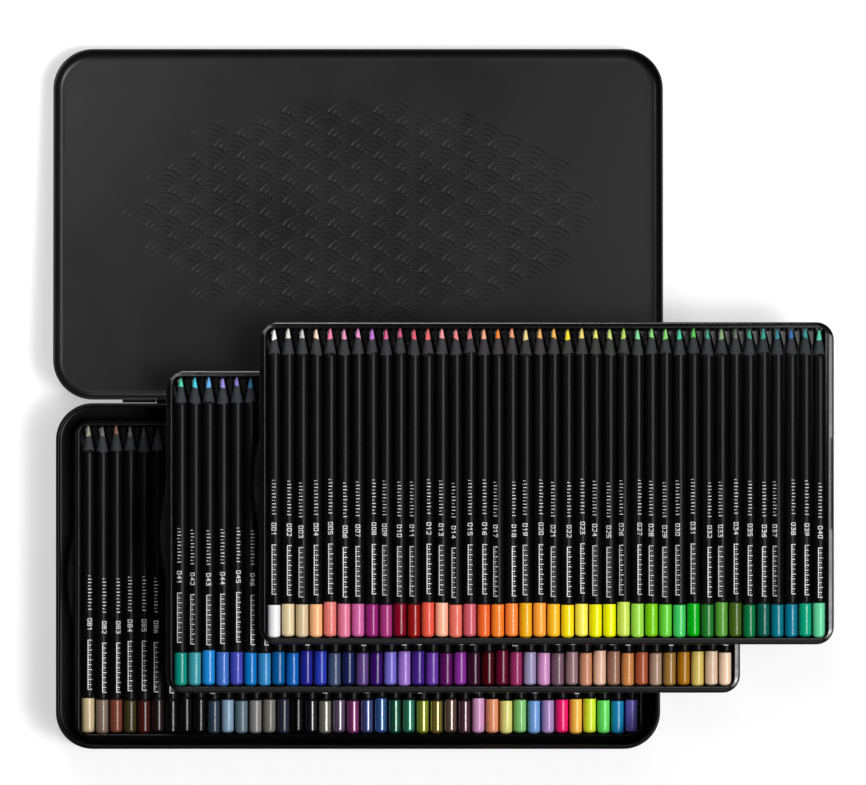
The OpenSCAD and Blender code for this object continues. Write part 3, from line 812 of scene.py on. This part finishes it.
ink, tree, shader = new_finish("white_print", IOR=1.45)
patchy = clouds(tree, 110, 4)
tree.links.new(blend(tree, patchy, (0.42, 0.42, 0.42, 1), (0.86, 0.86, 0.85, 1)),
               shader.inputs["Base Color"])
tree.links.new(between(tree, patchy, 0.45, 0.6), shader.inputs["Roughness"])

core, tree, shader = new_finish("colour_lead", IOR=1.45)
core_colour = add(tree, "ShaderNodeAttribute", attribute_name="core").outputs["Color"]
grit = between(tree, clouds(tree, 1800, 3), 0.82, 1.12)
shaded = add(tree, "ShaderNodeVectorMath", {0: core_colour, "Scale": grit}, operation="SCALE")
tree.links.new(shaded.outputs[0], shader.inputs["Base Color"])
tree.links.new(between(tree, grit, 0.6, 0.48, 0.8, 1.1), shader.inputs["Roughness"])
raised(tree, clouds(tree, 2200, 2), 0.00008, shader)

rack, given = laid_out("laid_in_channels", (
    ("Shapes", "Collection"), ("Turn", "Float"), ("Seed", "Int")))
whole = {"data_type": "INT"}
number = add(rack, "GeometryNodeInputNamedAttribute", {"Name": "number"}, **whole).outputs[0]
which = add(rack, "GeometryNodeInputNamedAttribute", {"Name": "shape"}, **whole).outputs[0]
least = reckoned(rack, "MULTIPLY", given["Turn"], -1)
turn = add(rack, "FunctionNodeRandomValue", {
    2: least, 3: given["Turn"], "ID": number, "Seed": given["Seed"]}, data_type="FLOAT")
choice = add(rack, "GeometryNodeCollectionInfo", {
    "Collection": given["Shapes"], "Separate Children": True, "Reset Children": True})
instances = add(rack, "GeometryNodeInstanceOnPoints", {
    "Points": given["Geometry"], "Instance": choice.outputs[0], "Pick Instance": True,
    "Instance Index": which,
    "Rotation": add(rack, "ShaderNodeCombineXYZ", {"Y": turn.outputs[1]}).outputs[0]})
result = add(rack, "GeometryNodeRealizeInstances", {0: instances.outputs[0]}).outputs[0]
finish = add(rack, "GeometryNodeInputNamedAttribute", {"Name": "finish"}, **whole).outputs[0]
for value, surface in ((DIP, dip), (LACQUER, lacquer), (WOOD, wood), (PRINT, ink), (LEAD, core)):
    chosen = add(rack, "FunctionNodeCompare", {2: finish, 3: value}, data_type="INT",
                 operation="EQUAL").outputs[0]
    result = add(rack, "GeometryNodeSetMaterial", {
        "Geometry": result, "Selection": chosen, "Material": surface}).outputs[0]
add(rack, "NodeGroupOutput", {0: result})


def laid_in(name, points, seed):
    """The shapes named by a list of points, each (place, pencil, shape, dip, core, metallic)."""
    mesh = bpy.data.meshes.new(name)
    mesh.from_pydata([Vector(p[0]) * MM for p in points], [], [])
    for kind, column, attribute in (("INT", 1, "number"), ("INT", 2, "shape"),
                                    ("FLOAT", 5, "metal")):
        mesh.attributes.new(attribute, kind, "POINT").data.foreach_set(
            "value", [p[column] for p in points])
    for column, attribute in ((3, "dip"), (4, "core")):
        mesh.attributes.new(attribute, "FLOAT_COLOR", "POINT").data.foreach_set(
            "color", [c for p in points for c in (*p[column], 1.0)])
    host = bpy.data.objects.new(name, mesh)
    made = applied(host, rack, {"Shapes": drawer, "Turn": math.radians(25), "Seed": seed}, name)
    return bpy.data.objects.new(name, made)


GROUPS = ((1, 1), (2, 10), (11, 20), (21, 30), (31, 40))
SCALE_FROM, NUMBER_MIDDLE, BARS_FROM = 52, 61, 88.6
MARKS_SHIFT = 0.9
LIE_TURN, MARKS_TURN = 137.5, 97         # degrees from one pencil to the next in each scatter
TRAY_TURN = 77                   # and from one tray to the next
for tray_number, (tray, place) in enumerate(TRAY_PLACES.items()):
    dips = [(name, as_light(value)) for name, value in COLOURS[tray].items()]
    for first, last in GROUPS:
        barrels, leads = [], []
        for n in range(first, last + 1):
            name, colour = dips[n - 1]
            metallic = float(name.startswith(METALLIC))
            lead = tuple(0.9 * c + 0.06 for c in colour)     # a little paler than the dip
            if n <= len(POINT_COLOURS[tray]):
                lead = as_light(POINT_COLOURS[tray][n - 1])
            shift = END_SHIFT * math.sin(math.radians(LIE_TURN * n + TRAY_TURN * tray_number))
            butt = Vector(place) + Vector((pencil_x(n), shift - PENCIL_LEN / 2, AXIS_Z))
            facts = (colour, lead, metallic)
            barrels.append((butt, n, (3 * n + tray_number) % LEADS_AT, *facts))
            leads.append((butt, n, LEADS_AT + (5 * n + tray_number) % LEAD_SHAPES, *facts))
            marks = butt + Vector((0, MARKS_SHIFT * math.sin(math.radians(MARKS_TURN * n)), 0))
            barrels.append((marks + Vector((0, SCALE_FROM, 0)), n, SCALE_AT, *facts))
            barrels.append((marks + Vector((0, BARS_FROM, 0)), n, BARS_AT, *facts))
            label = f"{n + PENCILS * (2 - tray_number):03}"
            for k, digit in enumerate(label):
                y = NUMBER_MIDDLE + DIGIT_STEP * ((len(label) - 1) / 2 - k)
                barrels.append((marks + Vector((0, y, 0)), n, DIGITS_AT + int(digit), *facts))
        if first == last:
            body, ending = tray + "_first_pencil", f"_{first:02}"
            barrel_node, lead_node = tray + "_barrel" + ending, tray + "_lead" + ending
        else:
            body, ending = tray + "_set", f"_{first:02}_{last}"
            barrel_node, lead_node = tray + "_barrels" + ending, tray + "_leads" + ending
        for kind, points, node, slot in (
                ("pencils", barrels, barrel_node, "black_barrel"),
                ("points", leads, lead_node, tray + "_lead" + ending)):
            piece = laid_in(f"{tray}_{kind}{ending}", points, tray_number)
            fitted(piece, body, [node], slot)

# ---------------------------------------------------------------------------------------------
# Table, lamps and camera. A white table under studio light from the right, with two soft boxes
# over the lid and a glint from behind. The ceiling is dark, so that gloss stays black, and the
# camera looks straight down as in the photograph.
# ---------------------------------------------------------------------------------------------
VIEW_X, VIEW_Y, VIEW_Z = 0.0426, 0.1043, 12.0
VIEW_W, VIEW_LEVEL = 0.492, 0.032
SENSOR = 36
TO_KEY = (0.60, -0.21, 1)

TABLE_HALF, TABLE_Z = 6, -0.0001
table_mesh = bpy.data.meshes.new("table")
table_mesh.from_pydata(
    [(x * TABLE_HALF, y * TABLE_HALF, TABLE_Z) for x, y in ((-1, -1), (1, -1), (1, 1), (-1, 1))],
    [], [(0, 1, 2, 3)])
table = bpy.data.objects.new("table", table_mesh)
bpy.context.scene.collection.objects.link(table)
white, tree, shader = new_finish("white_table", Roughness=0.8, IOR=1.3)
tree.links.new(blend(tree, clouds(tree, 3, 2), (0.55, 0.55, 0.55, 1), (0.57, 0.57, 0.57, 1)),
               shader.inputs["Base Color"])
path = add(tree, "ShaderNodeLightPath").outputs
seen = path["Is Camera Ray"]
for ray in ("Is Glossy Ray", "Is Transmission Ray"):
    seen = reckoned(tree, "MAXIMUM", seen, path[ray])
shader.inputs["Emission Color"].default_value = (1, 1, 1, 1)
tree.links.new(between(tree, seen, 0.0, 0.47, 0, 1), shader.inputs["Emission Strength"])
table_mesh.materials.append(white)

world = bpy.data.worlds.new("studio")
bpy.context.scene.world = world
world.use_nodes = True
tree = world.node_tree
facing = add(tree, "ShaderNodeSeparateXYZ", {
    0: add(tree, "ShaderNodeTexCoord").outputs["Generated"]}).outputs["Z"]
ceiling = between(tree, facing, 0.35, 0.02, 0.0, 0.25)
path = add(tree, "ShaderNodeLightPath").outputs
tree.links.new(reckoned(tree, "MAXIMUM", ceiling, path["Is Camera Ray"]),
               tree.nodes["Background"].inputs["Strength"])
tree.nodes["Background"].inputs["Color"].default_value = (1, 1, 1, 1)


def lamp(name, kind, towards, energy, distance=0, **settings):
    """A lamp that shines on the middle of the trays from a direction."""
    light = bpy.data.lights.new(name, kind)
    light.energy = energy
    for setting, value in settings.items():
        setattr(light, setting, value)
    made = bpy.data.objects.new(name, light)
    made.rotation_euler = Vector(towards).to_track_quat("Z", "Y").to_euler()
    made.location = Vector((VIEW_X, VIEW_Y, 0)) + Vector(towards).normalized() * distance
    made.visible_camera = False
    bpy.context.scene.collection.objects.link(made)


lamp("key", "SUN", TO_KEY, 1.8, angle=math.radians(38))
lamp("key_spark", "SUN", TO_KEY, 1.1, angle=math.radians(13))
lamp("back_glint", "SUN", (-0.1, 1, 0.45), 0.5, angle=math.radians(14))
lamp("front_soft", "SUN", (0, -0.58, 1), 0.1, angle=math.radians(30))
lamp("left_soft", "AREA", (-0.328, 0.30, 0.6), 1.2, distance=0.747, shape="RECTANGLE",
     size=0.33, size_y=0.28)
lamp("right_soft", "AREA", (0.24, 0.165, 0.6), 0.6, distance=0.667, shape="RECTANGLE",
     size=0.33, size_y=0.24)

camera = bpy.data.cameras.new("camera")
camera.sensor_fit = "HORIZONTAL"
camera.sensor_width = SENSOR
camera.lens = SENSOR * (VIEW_Z - VIEW_LEVEL) / VIEW_W
camera.clip_start, camera.clip_end = 1, 200
eye = bpy.data.objects.new("camera", camera)
eye.location = (VIEW_X, VIEW_Y, VIEW_Z)
bpy.context.scene.collection.objects.link(eye)
bpy.context.scene.camera = eye
bpy.context.scene.view_settings.view_transform = "Standard"
